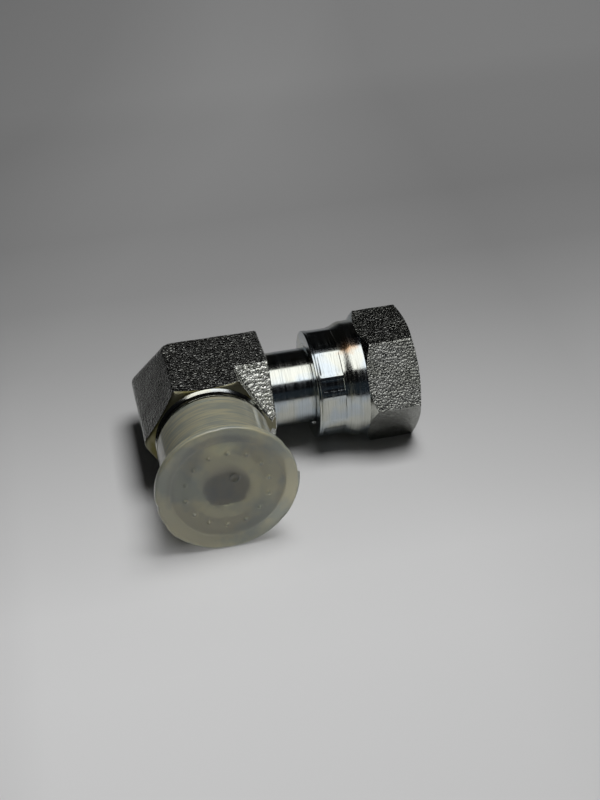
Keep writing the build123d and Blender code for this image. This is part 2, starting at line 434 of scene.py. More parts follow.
def male_thread_end():
    """Boss, relief, thread, sealing cone and the bore's mouth, with the thread cut into the profile."""
    outside = eased([
        (rooted - male_leg, boss_radius + root_rise),
        (-0.04 * mm - male_leg, boss_radius + root_rise),
        (-root_length - male_leg, boss_radius),
        (-boss_end, boss_radius),
        (-boss_end, relief_radius),
        (thread_radius - relief_radius - relief_end, relief_radius),
        (-relief_end, thread_radius),
        (thread_radius - cone_base - thread_end, thread_radius),
        (-thread_end, cone_base),
        (-male_end, cone_nose),
        (-male_end, bore_radius + bore_break),
    ], np.array([0.02, 0.28] + [0.09] * 7) * mm)
    outside = filled(outside, 0.09 * mm)
    bore = np.array([(bore_break - male_end, bore_radius), (rooted - male_leg, bore_radius)])
    station, radius = np.vstack([outside, bore]).T[..., None]
    angle = np.linspace(0, 2 * pi, 288, endpoint=False)
    thread = thread_radius - thread_depth + thread_height(station / pitch + angle / (2 * pi))
    threaded = (station < -boss_end - thread_flat) & (radius > bore_radius)
    radius = np.where(threaded, np.minimum(radius, thread), radius)
    in_bore = (np.arange(len(station)) >= len(outside)).astype(int)
    return grid_piece("male_thread_end", revolved(station, radius, angle, "y"), in_bore)


male_thread = male_thread_end()

# %% Neck and nose
neck_radius = 5.70 * mm
neck_root = 0.35 * mm
shoulder_start = 20.02 * mm
shoulder_end = 21.92 * mm
shoulder_radius = 6.75 * mm
nose_radius = 6.10 * mm
seat_radius = 5.25 * mm
seat_slope = np.tan(np.radians(37))


def neck_and_nose():
    """Neck with its root fillet, the shoulder that the nut pulls on, the nose and the 37 degree seat
    inside it."""
    root_face = neck_leg + 0.03 * mm
    shoulder_rise = shoulder_radius - neck_radius
    corners = [
        (neck_leg - rooted, neck_radius + neck_root),
        (root_face, neck_radius + neck_root),
        (root_face + 0.02 * mm, neck_radius),
        (shoulder_start, neck_radius),
        (shoulder_start + 0.7 * shoulder_rise, shoulder_radius),
        (shoulder_end, shoulder_radius),
        (shoulder_end, nose_radius),
        (nose_end, nose_radius),
        (nose_end, seat_radius),
        (nose_end - (seat_radius - bore_radius) / seat_slope, bore_radius),
    ]
    ease = np.array([0.02, 0.33, 0.2, 0.15, 0.1, 0.08, 0.25, 0.06]) * mm
    outside = filled(eased(corners, ease), 0.22 * mm)
    bore = np.array([(neck_leg - rooted, bore_radius)])
    station, radius = np.vstack([outside, bore]).T[..., None]
    angle = np.linspace(0, 2 * pi, 256, endpoint=False)
    in_bore = (np.arange(len(station)) >= len(outside) - 1).astype(int)
    return grid_piece("neck_and_nose", revolved(station, radius, angle, "x"), in_bore)


neck = neck_and_nose()

# %% [markdown]
# ## Swivel nut
#
# From its crimped end to its mouth the nut is a collar squeezed by jaws, a flare, a turned barrel
# and a hexagon. The collar keeps a flat mark from every jaw, with a narrow ridge left between two
# marks and a crease on both sides of it. They are as uneven as in the photograph on the side that
# it shows, and guessed on the other. On the hexagon the columns don't all start at the same place:
# the cone turned over its rear corners meets a corner later than a flat, so a column's cone rows
# end, and its flat rows start, where the cone reaches the hexagon's own radius. That keeps the
# curved edge between them exact. The mouth is made the same way.

# %% Skirt of the nut
collar_radius = 8.20 * mm
barrel_radius = 8.83 * mm
lip_bore = 5.79 * mm
jaw_start = 17.0 * mm
jaw_end = 20.5 * mm
flare_end = 22.5 * mm
hex_start = 24.0 * mm
jaw_depth = 0.10 * mm
ridge_places = np.radians([2, 40, 78, 114, 144, 163, 200, 243, 285, 322])
ridge_halves = np.radians([4.5, 3, 3.5, 4, 1.9, 3.4, 5, 3, 4, 2.5])
ridge_slope = np.radians(2.0)
jaw_run_in = 0.5 * mm
jaw_run_out = 0.10 * mm
crease_width = np.radians(0.7)
crease_depth = 0.035 * mm
groove_ahead = 0.15 * mm     # of the jaw marks
groove_width = 0.07 * mm
groove_depth = 0.10 * mm


def collar_groove(station):
    """Depth of the thin groove between the lip and the jaw marks: a bell in the station along the
    axis."""
    return groove_depth * np.exp(-(((station - jaw_start + groove_ahead) / groove_width) ** 2))


def skirt_radius(station, angle):
    """Collar that flares to the barrel by a smooth step, less the jaw marks: a mark is there between
    its two ends along the axis, and away from every ridge. A crease runs along both edges of one."""
    flare = smooth_step((station - jaw_end) / (flare_end - jaw_end))
    from_ridge = np.abs((angle[:, None] - ridge_places + pi) % (2 * pi) - pi) - ridge_halves
    marked = smooth_step(from_ridge / ridge_slope).min(-1)
    crease = np.exp(-((from_ridge / crease_width) ** 2)).max(-1)
    begun = smooth_step((station - jaw_start) / jaw_run_in)
    along = begun * smooth_step((jaw_end - station) / jaw_run_out + 1)
    depth = along * (jaw_depth * marked + crease_depth * crease)
    return collar_radius + (barrel_radius - collar_radius) * flare - depth - collar_groove(station)


# %% Swivel nut
nut_half = 8.73 * mm
nut_turn = np.radians(2.1)   # the nut stands turned by this angle
nut_edge = 0.22 * mm
rear_rise = 0.90 * mm        # length of the cone over the rear corners
mouth_radius = 8.45 * mm
mouth_rise = 0.55 * mm
cavity_radius = 6.95 * mm
cavity_end = 22.52 * mm
relief_bore = 7.44 * mm
nut_relief_end = 23.52 * mm
mouth_countersink = 0.75 * mm
row_gap = 0.02 * mm          # keeps the rows of the cone and of the flats apart


def swivel_nut():
    """Rows: lip, skirt, rear cone, flats, mouth cone, mouth face, threaded bore and cavity."""
    ridge_edges = np.concatenate([ridge_places - ridge_halves, ridge_places + ridge_halves])
    places = np.concatenate([np.arange(6) * pi / 3 + nut_turn, ridge_edges])
    angle = round_columns(352, places, 0.022, 6)
    facing = nut_turn + np.radians(30) + np.arange(6) * pi / 3
    hexagon_here = polygon(angle, facing, nut_half, nut_edge)
    corner = nut_half / cos30

    lip = eased([
        (jaw_end - 0.6 * mm, lip_bore),
        (nut_start + 0.35 * mm, lip_bore),
        (nut_start, lip_bore + 0.35 * mm),
        (nut_start, collar_radius - 0.02 * mm),
        (nut_start + 0.3 * mm, collar_radius),
    ], np.array([0.05, 0.05, 0.24]) * mm)
    lip_rows = revolved(lip[:-1, :1], lip[:-1, 1:], angle, "x")

    places = [jaw_start - 0.1 * mm, jaw_end]
    station = crowded(nut_start + 0.27 * mm, hex_start, 84, places, 0.12 * mm, 5)[:, None]
    skirt_rows = revolved(station, skirt_radius(station, angle), angle, "x")

    toward_corner = np.clip((hexagon_here - barrel_radius) / (corner - barrel_radius), 0, 1)
    meets_cone = hex_start + rear_rise * toward_corner
    meets_mouth = mouth - mouth_rise * (hexagon_here - mouth_radius) / (corner - mouth_radius)
    share = np.linspace(0, 1, 5)[:, None]
    over_barrel = barrel_radius + share * (hexagon_here - barrel_radius)
    over_barrel = np.where(hexagon_here > barrel_radius, over_barrel, hexagon_here)
    along_cone = hex_start + 0.5 * row_gap + share * (meets_cone - hex_start)
    cone_rows = revolved(along_cone, over_barrel, angle, "x")
    share = np.linspace(0, 1, 46)[:, None]
    along_flat = meets_cone + row_gap + share * (meets_mouth - meets_cone - row_gap)
    flat_rows = revolved(along_flat, hexagon_here, angle, "x")
    flat_rows = forged_skin(flat_rows, flat_rows * [1, 0, 0], seed=11)
    share = np.linspace(0.06, 1, 4)[:, None]
    to_mouth = meets_mouth + share * (mouth - meets_mouth)
    mouth_rows = revolved(to_mouth, hexagon_here + share * (mouth_radius - hexagon_here), angle, "x")

    countersunk = crest_radius + mouth_countersink
    inside = eased([
        (mouth, 0.5 * (mouth_radius + countersunk)),
        (mouth, countersunk),
        (mouth - mouth_countersink, crest_radius),
        (nut_relief_end + relief_bore - crest_radius, crest_radius),
        (nut_relief_end, relief_bore),
        (cavity_end, relief_bore),
        (cavity_end, cavity_radius),
        (shoulder_start + 0.6 * mm, cavity_radius),
        (jaw_end - 0.6 * mm, lip_bore + 0.04 * mm),
    ], 0.05 * mm, steps=3)
    threaded_part = inside[:, 0] > nut_relief_end - 0.1 * mm
    inside = np.vstack([filled(inside[threaded_part], 0.10 * mm), inside[~threaded_part]])
    station, radius = inside.T[..., None]
    thread = crest_radius + thread_depth - thread_height(station / pitch - angle / (2 * pi))
    cut = (station > nut_relief_end) & (station < mouth)
    inside_rows = revolved(station, np.where(cut, np.maximum(radius, thread), radius), angle, "x")

    grid = np.concatenate([lip_rows, skirt_rows, cone_rows, flat_rows, mouth_rows, inside_rows])
    first_flat = len(lip_rows) + len(skirt_rows) + len(cone_rows)
    row = np.arange(len(grid))
    blasted = ((row >= first_flat) & (row < first_flat + len(flat_rows) - 1)).astype(int)
    return grid_piece("crimped_swivel_nut", grid, blasted)


nut = swivel_nut()

# %% [markdown]
# ## Protective cap
#
# The cap is moulded in natural polyethylene: a sleeve over the thread, a closed end and a wide
# flange to pull it off by. Plastic never comes out of a mould quite true. Its faces wave a little,
# a torn lip of flash hangs on the flange's front edge at the lower left, a thin fin of it stands on
# the back edge at the right, and the rim has a few nicks. The end face keeps a ring of small pips
# and the round scar of the gate. The profile starts and ends on the axis, where its rows shrink to
# a point and are merged. Both skins of the wall are drawn, as light goes through both.

# %% Protective cap
sleeve_bore = 7.20 * mm
sleeve_radius = 8.30 * mm
flange_thickness = 1.20 * mm
end_wall = 1.00 * mm
lip_degrees = [196, 200, 208, 215, 219, 226, 235, 243, 251, 257, 266, 273]
lip_reach = np.array([0, 0.05, 0.10, 0.26, 0.36, 0.27, 0.23, 0.20, 0.28, 0.20, 0.10, 0]) * mm
fin_start, fin_end = np.radians([2.5, -38])
fin_reach = 0.36 * mm
lip_depth = 0.34 * mm        # the lip and the fin lie this far behind the flange's front
fin_depth = 1.02 * mm
nick_width = np.radians(3.6)
nick_places = np.radians([30, 95, 187, 204, 262, 318])
nick_depths = np.array([0.10, 0.05, 0.20, 0.07, 0.05, 0.05]) * mm
pip_count = 14
pip_ring = 5.9 * mm
pip_radius = 0.24 * mm
pip_height = 0.36 * mm
gate_place = np.array([1.1, 1.7]) * mm   # x and z of the gate's scar
gate_radius = 0.62 * mm
scar_width = 0.13 * mm
scar_height = 0.12 * mm
dip_radius = 0.3 * mm


def rim_change(angle):
    """Reach of the torn lip, reach of the fin and depth of the nicks, by the angle round the flange."""
    lip = np.interp(np.degrees(angle) % 360, lip_degrees, lip_reach)
    turned = (angle + pi) % (2 * pi) - pi
    abrupt = smooth_step((fin_start - turned) / np.radians(1.2))
    fin = fin_reach * abrupt * smooth_step((turned - fin_end) / np.radians(14))
    away = np.abs((angle[:, None] - nick_places + pi) % (2 * pi) - pi)
    nicks = (nick_depths * np.exp(-((away / nick_width) ** 2))).sum(-1)
    return lip, fin, nicks


def face_marks(x, z):
    """Height of the pips and of the gate's scar over the end face: a bell at each pip, and a ring
    with a dip in it."""
    pips = 0
    for a in np.arange(pip_count) * 2 * pi / pip_count + 0.15:
        squared = (x - pip_ring * np.cos(a)) ** 2 + (z - pip_ring * np.sin(a)) ** 2
        pips = pips + np.exp(-(squared / pip_radius**2))
    from_gate = np.hypot(x - gate_place[0], z - gate_place[1])
    ring = np.exp(-(((from_gate - gate_radius) / scar_width) ** 2))
    scar = ring - 0.8 * np.exp(-((from_gate / dip_radius) ** 2))
    return pip_height * pips + scar_height * scar


def protective_cap():
    """Rows: outer face from the middle, flange, sleeve, rim, and back through the sleeve's bore to
    the inner face."""
    flange_back = flange_thickness - cap_face
    face = eased([
        (0.06 * mm - cap_face, 0),
        (0.06 * mm - cap_face, sleeve_radius - 0.5 * mm),
        (-cap_face, sleeve_radius - 0.2 * mm),
        (-cap_face, flange_radius),
        (flange_back, flange_radius),
        (flange_back, sleeve_radius),
        (-cap_rim, sleeve_radius - 0.05 * mm),
        (-cap_rim, sleeve_bore),
        (end_wall - cap_face, sleeve_bore),
        (end_wall - cap_face, 0),
    ], np.array([0.2, 0.2, 0.45, 0.42, 0.35, 0.3, 0.25, 0.2]) * mm, steps=8)
    on_face = int(np.argmax(face[:, 1] > flange_radius - 0.6 * mm))
    past_rim = int(np.argmax(face[:, 0] > flange_back - 0.01 * mm)) + 1
    rows = [filled(face[: on_face + 1], 0.10 * mm), filled(face[on_face : past_rim + 1], 0.07 * mm)[1:]]
    rows.append(filled(face[past_rim:], 0.30 * mm)[1:])
    station, radius = np.vstack(rows).T[..., None]
    places = np.radians([2, 196, 204, 212, 220, 230, 240, 250, 260])
    angle = round_columns(336, places, 0.05, 2)
    lip, fin, nicks = rim_change(angle)
    depth = station + cap_face
    near_rim = smooth_step((radius - flange_radius + 0.6 * mm) / (0.5 * mm))
    at_rim = near_rim * (depth < flange_thickness + 0.1 * mm)
    in_lip = smooth_step(1.7 - np.abs(depth - lip_depth) / (0.2 * mm))
    in_fin = smooth_step(1.8 - np.abs(depth - fin_depth) / (0.12 * mm))
    radius = radius + at_rim * (in_lip * lip + in_fin * fin - nicks)
    grid = revolved(station, radius, angle, "y")
    fade = smooth_step(radius / (3 * mm))
    wave = fade * 0.025 * mm * ripples(grid, 5 * mm, 21)
    on_end = (depth < 0.1 * mm) & (radius < sleeve_radius)
    grid[..., 1] += wave - on_end * face_marks(grid[..., 0], grid[..., 2])
    inside = (np.arange(len(grid)) >= np.argmax(station[:, 0] == station.max())).astype(int)
    return grid_piece("push_on_cap", grid, inside, ring=False, crease=50)


cap = protective_cap()

# %% [markdown]
# ## Finishes
#
# Each finish is a small node tree on the Principled shader. A helper adds a node and fills its
# sockets, so a finish reads as a list of what it is made of. Everything is patterned on Object
# coordinates in metres: a noise scale of 3600 makes a grain of about 0.28 mm.

# %% Node helpers
mix_first, mix_second, mix_result = 6, 7, 2   # sockets of a Mix node that mixes colours


def node(tree, kind, sockets=None, **settings):
    """Adds a node. A socket takes a number, a colour or the output of another node."""
    new = tree.nodes.new("ShaderNode" + kind)
    for name, value in settings.items():
        setattr(new, name, value)
    for name, value in (sockets or {}).items():
        if isinstance(value, bpy.types.NodeSocket):
            tree.links.new(value, new.inputs[name])
        else:
            new.inputs[name].default_value = value
    return new


def new_finish(name, **constants):
    """A material with its tree, its shader and the place on the piece, in metres."""
    made = bpy.data.materials.new(name)
    made.use_nodes = True
    shader = made.node_tree.nodes["Principled BSDF"]
    for socket, value in constants.items():
        shader.inputs[socket.replace("_", " ")].default_value = value
    place = node(made.node_tree, "TexCoord").outputs["Object"]
    return made, made.node_tree, shader, place


def noise(tree, place, scale, detail=2.0, roughness=0.5):
    """Smooth noise from 0 to 1 round 0.5, with features about 1 / scale across."""
    sockets = {"Vector": place, "Scale": scale, "Detail": detail, "Roughness": roughness}
    return node(tree, "TexNoise", sockets).outputs["Fac"]


def ranged(tree, value, low, high, to_low, to_high):
    """Maps low..high onto to_low..to_high, and holds it there outside."""
    sockets = {"Value": value, "From Min": low, "From Max": high, "To Min": to_low, "To Max": to_high}
    return node(tree, "MapRange", sockets).outputs["Result"]


def scaled_sum(tree, value, factor, added):
    """value · factor + added."""
    return node(tree, "Math", {0: value, 1: factor, 2: added}, operation="MULTIPLY_ADD").outputs[0]


def vector(tree, operation, *values):
    """A vector operation, whose result is a number where it measures a length."""
    made = node(tree, "VectorMath", dict(enumerate(values)), operation=operation)
    return made.outputs["Value" if operation in ("LENGTH", "DISTANCE") else "Vector"]


def finished(tree, shader, height, depth, **outputs):
    """Links outputs to the shader's sockets of the same names, and bumps the surface by height
    times depth."""
    bump = node(tree, "Bump", {"Strength": 1.0, "Distance": depth, "Height": height})
    for socket, output in {**outputs, "Normal": bump.outputs["Normal"]}.items():
        tree.links.new(output, shader.inputs[socket.replace("_", " ")])


def mixed(tree, share, first, second):
    """A colour between two, by a share from 0 to 1."""
    mix = node(tree, "Mix", {"Factor": share}, data_type="RGBA")
    for socket, value in ((mix.inputs[mix_first], first), (mix.inputs[mix_second], second)):
        if isinstance(value, bpy.types.NodeSocket):
            tree.links.new(value, socket)
        else:
            socket.default_value = (*value, 1)
    return mix.outputs[mix_result]


# %% [markdown]
# ## Blasted zinc
#
# The forging and the flats of the nut were shot blasted and zinc plated. Up close this is a bright
# metal full of tiny round dents, so it isn't grey by itself: it looks dark where a dent mirrors the
# dim room and sparkles where one catches the lamp. A Voronoi texture gives the distance to the
# nearest of many scattered points, and its square is a field of bowls that meet in sharp ridges,
# just what shot leaves. Two sizes of bowl are added up, and finer noise roughens their walls. The
# colour darkens towards the bottom of each bowl, painted shade. One function makes all four
# finishes, which differ in the size of the dents and in their brightness. On the forging that
# brightness is painted light: the inner sides are lightest, and the flats and outer sides darker.
# The forging's outer sides are the darkest, as they are in the photograph.

# %% Blasted zinc
bright_zinc = np.array([(0.50, 0.51, 0.46), (0.66, 0.67, 0.63)])   # its two tints
# painted shade: the colour at the bottom of every dent
dent_shade_zinc = (0.06, 0.065, 0.055)


def dents(tree, place, scale):
    """Bowls about 1 / scale across: the square of the distance to the nearest scattered point."""
    cell = node(tree, "TexVoronoi", {"Vector": place, "Scale": scale}, feature="F1")
    return node(tree, "Math", {0: cell.outputs["Distance"], 1: 2.0}, operation="POWER").outputs[0]


def blasted_zinc(name, scale, dent_depth, brightness):
    """Zinc with dents of two sizes and grit on their walls. The larger dents are 1 / scale across and
    dent_depth times that deep, and brightness multiplies the colour between the hollows."""
    made, tree, shader, place = new_finish(name, Metallic=1.0)
    drift = node(tree, "TexNoise", {"Vector": place, "Scale": 2400.0}).outputs["Color"]
    place = vector(tree, "ADD", place, vector(tree, "MULTIPLY", drift, 3 * (0.12 * mm,)))
    grit = noise(tree, place, 4 * scale, 2, 0.6)
    height = dents(tree, place, scale)
    for finer, share in ((dents(tree, place, 2.1 * scale), 0.36), (grit, 0.10)):
        height = scaled_sum(tree, finer, share, height)
    patches = noise(tree, place, 420, 3)
    bright = mixed(tree, ranged(tree, patches, 0.35, 0.65, 0, 1), *brightness * bright_zinc)
    # the dents darken towards their bottoms, painted shade
    colour = mixed(tree, ranged(tree, height, 0.04, 0.30, 0, 1), dent_shade_zinc, bright)
    roughness = ranged(tree, grit, 0.35, 0.65, 0.07, 0.16)
    finished(tree, shader, height, dent_depth / scale, Base_Color=colour, Roughness=roughness)
    return made


# painted light: the inner sides' zinc is lightest, the flats' darker and the outer sides' darkest
lit_inner_skin = blasted_zinc("blasted_zinc", 2000, 0.42, 1.1)
shaded_flat_skin = blasted_zinc("blasted_zinc_flat_shaded", 2700, 0.34, 0.80)
shaded_side_skin = blasted_zinc("blasted_zinc_side_shaded", 3200, 0.22, 0.55)
nut_skin = blasted_zinc("blasted_zinc_fine", 3100, 0.35, 0.60)

# %% [markdown]
# ## Turned zinc
#
# A lathe tool leaves fine rings round the axis, on cylinders and on end faces alike. So the pattern
# mustn't read the place itself but two lengths from it: how far along the axis it is and how far
# from the axis. Noise that changes fast with both and slowly with the place gives rings that wander
# a little. They change the bump and the roughness, which breaks the edges of each reflection up
# into fine streaks, and their grooves are darkened, painted shade. The plating has a faint yellow
# or blue tint in patches, and a brown stain on the nut's flare. The turned cone of the forging is a
# darker kind of it, and the bores are nearly black, painted shade down the holes.

# %% Turned zinc
ring_wander = 0.018          # how much of the place is added to the two lengths
# painted shade: the colour that the rings' grooves darken towards
groove_shade_zinc = (0.12, 0.125, 0.11)
stain_brown = (0.50, 0.27, 0.11)
stain_on_flare = (22.0, -3.6, 8.0)       # its place in millimetres


def turned_zinc(name, axis, first, second, stain=None, smoothest=0.07):
    """Zinc over turning rings about the x or y axis, in patches of two tints, with one brown stain at
    a place in millimetres. smoothest is the roughness where the rings are smoothest."""
    made, tree, shader, place = new_finish(name, Metallic=1.0)
    parts = node(tree, "SeparateXYZ", {"Vector": place}).outputs
    across = {"x": ("Y", "Z"), "y": ("X", "Z")}[axis]
    from_axis = node(tree, "CombineXYZ", {"X": parts[across[0]], "Y": parts[across[1]]})
    radius = vector(tree, "LENGTH", from_axis.outputs[0])
    rings = node(tree, "CombineXYZ", {"X": parts[axis.upper()], "Y": radius}).outputs[0]
    rings = vector(tree, "ADD", rings, vector(tree, "MULTIPLY", place, 3 * (ring_wander,)))
    fine = noise(tree, rings, 7000, 3, 0.65)
    patches = noise(tree, place, 260, 2)
    tint = mixed(tree, ranged(tree, patches, 0.42, 0.58, 0, 1), first, second)
    if stain:
        away = vector(tree, "DISTANCE", place, np.array(stain) * mm)
        away = scaled_sum(tree, noise(tree, place, 900, 3), 2.4 * mm, away)
        tint = mixed(tree, ranged(tree, away, 1.5 * mm, 3.2 * mm, 0.8, 0), tint, stain_brown)
    # the grooves of the rings are darkened, painted shade
    colour = mixed(tree, ranged(tree, fine, 0.30, 0.52, 0.30, 0), tint, groove_shade_zinc)
    roughness = ranged(tree, fine, 0.34, 0.66, smoothest + 0.18, smoothest)
    finished(tree, shader, fine, 0.018 * mm, Base_Color=colour, Roughness=roughness)
    return made


turned_along_x = turned_zinc("turned_zinc_neck", "x", (0.54, 0.55, 0.50), (0.48, 0.53, 0.56), stain_on_flare)
turned_along_y = turned_zinc("turned_zinc_male", "y", (0.54, 0.54, 0.47), (0.50, 0.53, 0.54))
# painted shade: the bores are coloured nearly black
shaded_bore = turned_zinc("turned_zinc_bore_shaded", "x", (0.05, 0.055, 0.07), (0.03, 0.035, 0.05))
olive_chamfer = turned_zinc("turned_zinc_chamfer", "y", (0.11, 0.10, 0.04), (0.21, 0.20, 0.13), smoothest=0.3)

# %% [markdown]
# ## Natural polyethylene
#
# Unpigmented polyethylene is milky: part of the light goes through, blurred, and part is scattered
# back. One Principled shader does both. Its transmission lets the thread and the dark bore show as
# soft shapes, and what isn't transmitted is a pale warm grey. Its colour wavers in fine rings
# between bluish grey and yellow, painted reflection of the thread, over a cloud of random tone. The
# sleeve and the flange look milkier than the end wall, because light crosses more plastic there, so
# less is transmitted from a certain radius on. Over the bore nearly everything is transmitted, which
# keeps the bore dark. The inner skin scatters nothing by itself. A thin coat gives small sharp
# glints.

# %% Natural polyethylene
wall_ends, sleeve_begins = 6.4 * mm, 8.6 * mm    # the plastic grows milkier between these radii
bore_clear, bore_milky = 2.6 * mm, 3.4 * mm      # and between these, over the edge of the bore


def natural_polyethylene(name, milky, roughness):
    """`milky` is the share of light that isn't transmitted, on the end wall and on the sleeve and
    flange."""
    constants = {"Roughness": roughness, "IOR": 1.5, "Coat_Weight": 0.9, "Coat_Roughness": 0.09}
    made, tree, shader, place = new_finish(name, **constants)
    radius = vector(tree, "LENGTH", vector(tree, "MULTIPLY", place, (1, 0, 1)))
    share = ranged(tree, radius, wall_ends, sleeve_begins, 1 - milky[0], 1 - milky[1])
    over_bore = ranged(tree, radius, bore_clear, bore_milky, 0.85 * milky[0], 0)
    share = scaled_sum(tree, share, 1.0, over_bore)
    # painted reflection: the colour wavers in fine rings round the axis, over a cloud of random tone
    lines = noise(tree, vector(tree, "MULTIPLY", place, (0.05, 1, 0.05)), 2900, 3, 0.6)
    cloud_and_thread_reflection = scaled_sum(tree, noise(tree, place, 180, 2), 0.25, lines)
    colour = mixed(tree, ranged(tree, cloud_and_thread_reflection, 0.54, 0.71, 0, 1), (0.45, 0.48, 0.42), (0.72, 0.68, 0.48))
    finished(tree, shader, lines, 0.035 * mm, Base_Color=colour, Transmission_Weight=share)
    return made


milky_outside = natural_polyethylene("natural_polyethylene", (0.29, 0.40), 0.36)
clear_inside = natural_polyethylene("natural_polyethylene_inside", (0.0, 0.0), 0.36)

# %% [markdown]
# ## Dressing the bodies
#
# Every new piece hides the CAD node that it stands for, rides on a body and takes its finishes. The
# table also names a slot of the record for each, which isn't used. The forging's own surfaces ride
# on the elbow, and the nut and the cap each have a body of their own, so they turn and slide when a
# joint moves.

# %% Finishes, bodies and slots
dressing = {
    block: ("elbow_body", "elbow", "forged_steel", (lit_inner_skin, olive_chamfer, shaded_side_skin, shaded_flat_skin)),
    male_thread: ("elbow_body", "elbow", "forged_steel", (turned_along_y, shaded_bore)),
    neck: ("elbow_body", "elbow", "forged_steel", (turned_along_x, shaded_bore)),
    nut: ("swivel_nut", "nut", "turned_steel", (turned_along_x, nut_skin)),
    cap: ("protective_cap", "cap", "natural_polyethylene", (milky_outside, clear_inside)),
}
for piece, (cad_node, body, slot, finishes) in dressing.items():
    for finish in finishes:
        piece.data.materials.append(finish)
    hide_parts(cad_node)
    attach(piece, body)

# %% [markdown]
# ## Paper sweep
#
# The fitting lies on a sheet of pale paper that rises behind it. The sheet touches the cap's flange
# and the block's lower edge, so in the frame of the port axes it is a plane that slopes up gently
# behind. The nut sinks into it by up to half a millimetre. Its profile is that slope, then level,
# then a quarter circle up to the wall, carried along x. The sheet's grading is painted light: pale
# where the fitting stands, greyer behind it and towards the sides as the light falls off, and
# nearly black high on the wall, painted shade which the top flats mirror.

# %% Paper sweep
paper_height = -8.42 * mm    # below the crossing of the axes
paper_slope = 0.0709
slope_end = 60 * mm
level_end = 105 * mm
sweep_start = 120 * mm
sweep_radius = 70 * mm
wall_height = 420 * mm
sheet_front = -700 * mm
sheet_half = 900 * mm        # half its width
# painted light: these tones stand in for the lamp's fall-off on the paper, and for shade high on the wall and
# far on the left
painted_light_by_depth = {
    -45: 0.70, -31: 0.68, -19: 0.61, -5: 0.54, 10: 0.46, 27: 0.37, 46: 0.30, 69: 0.28, 134: 0.39
}
painted_shade_by_height = {15: 1.0, 32: 0.3, 55: 0.05, 85: 0.01}
painted_light_by_side = {-150: 0.15, -60: 0.8, -28: 1.06, 0: 0.97, 30: 0.88, 62: 0.72}
painted_shade_by_corner = {-131: 0.62, -92: 0.72, -60: 0.92, -40: 1.0}   # over x - 0.6 y, darker far on the left


def paper_sweep():
    """Height over y: the slope, easing to level between two places, and a circle that climbs into a
    wall."""
    y = np.concatenate([[sheet_front], np.linspace(-100 * mm, sweep_start, 40)])
    bend = level_end - slope_end
    easing = np.clip((y - slope_end) / bend, 0, 1) * bend
    rise = paper_slope * (np.minimum(y, slope_end) + easing - easing**2 / (2 * bend))
    turn = np.linspace(0, pi / 2, 24)[1:]
    y_all = np.concatenate([y, sweep_start + sweep_radius * np.sin(turn), [sweep_start + sweep_radius]])
    z_all = np.concatenate([rise, rise[-1] + sweep_radius * (1 - np.cos(turn)), [wall_height]]) + paper_height
    x = np.linspace(-sheet_half, sheet_half, 3)[:, None]
    grid = np.stack(np.broadcast_arrays(x, y_all, z_all), -1)
    rows, columns = grid.shape[:2]
    index = np.arange(rows * columns).reshape(rows, columns)
    faces = np.stack([index[:-1, :-1], index[1:, :-1], index[1:, 1:], index[:-1, 1:]], -1).reshape(-1, 4)
    mesh = bpy.data.meshes.new("paper_sweep")
    mesh.from_pydata(grid.reshape(-1, 3), [], faces)
    mesh.shade_smooth()
    return new_object("paper_sweep", mesh)


def graded(tree, place, tones):
    """A grey that follows a coordinate through the given places, which are in millimetres."""
    places = np.array(list(tones)) * mm
    share = ranged(tree, place, places[0], places[-1], 0, 1)
    ramp = node(tree, "ValToRGB", {"Fac": share})
    stops = ramp.color_ramp.elements
    for position, tone in zip((places - places[0]) / (places[-1] - places[0]), tones.values()):
        stop = stops.new(position) if 0 < position < 1 else stops[0 if position == 0 else -1]
        stop.color = (tone, tone, tone, 1)
    return ramp.outputs["Color"]


paper = paper_sweep()
# the paper's colour carries the painted light and shade of the tones above
paper_with_painted_light, tree, shader, place = new_finish("paper_with_painted_light", Roughness=0.85, Specular_IOR_Level=0.2)
parts = node(tree, "SeparateXYZ", {"Vector": place}).outputs
tone = graded(tree, parts["Y"], painted_light_by_depth)
corner = scaled_sum(tree, parts["Y"], -0.6, parts["X"])
others = ((parts["Z"], painted_shade_by_height), (parts["X"], painted_light_by_side), (corner, painted_shade_by_corner))
for other in (graded(tree, along, tones) for along, tones in others):
    product = node(tree, "Mix", {"Factor": 1.0}, data_type="RGBA", blend_type="MULTIPLY")
    tree.links.new(tone, product.inputs[mix_first])
    tree.links.new(other, product.inputs[mix_second])
    tone = product.outputs[mix_result]
tree.links.new(tone, shader.inputs["Base Color"])
paper.data.materials.append(paper_with_painted_light)

# %% [markdown]
# ## Black flag
#
# The forging's left flank is nearly black in the photograph, although it faces the pale paper on
# the left. What made it dark can't be seen, so the board here is a guess. Photographers call one a
# flag. It is a plain low sheet outside the picture, and only mirrors see it.

# %% Black flag
# painted shade: a black sheet that only mirrors see, so that the forging's left flank mirrors dark
flag_x = -24 * mm
flag_corners = [(flag_x, y * mm, z * mm) for y, z in ((-10, -13), (60, -13), (60, 7), (-10, 7))]
flag_mesh = bpy.data.meshes.new("painted_shade_flag")
flag_mesh.from_pydata(flag_corners, [], [(0, 1, 2, 3)])
flag = new_object("painted_shade_flag", flag_mesh)
painted_shade_cloth, tree, shader, place = new_finish("painted_shade_cloth", Roughness=1.0, Specular_IOR_Level=0.0)
tree.links.new(ranged(tree, noise(tree, place, 300), 0.3, 0.7, 0.004, 0.010), shader.inputs["Base Color"])
flag.data.materials.append(painted_shade_cloth)
for rays in ("camera", "diffuse", "transmission", "shadow"):
    setattr(flag, "visible_" + rays, False)

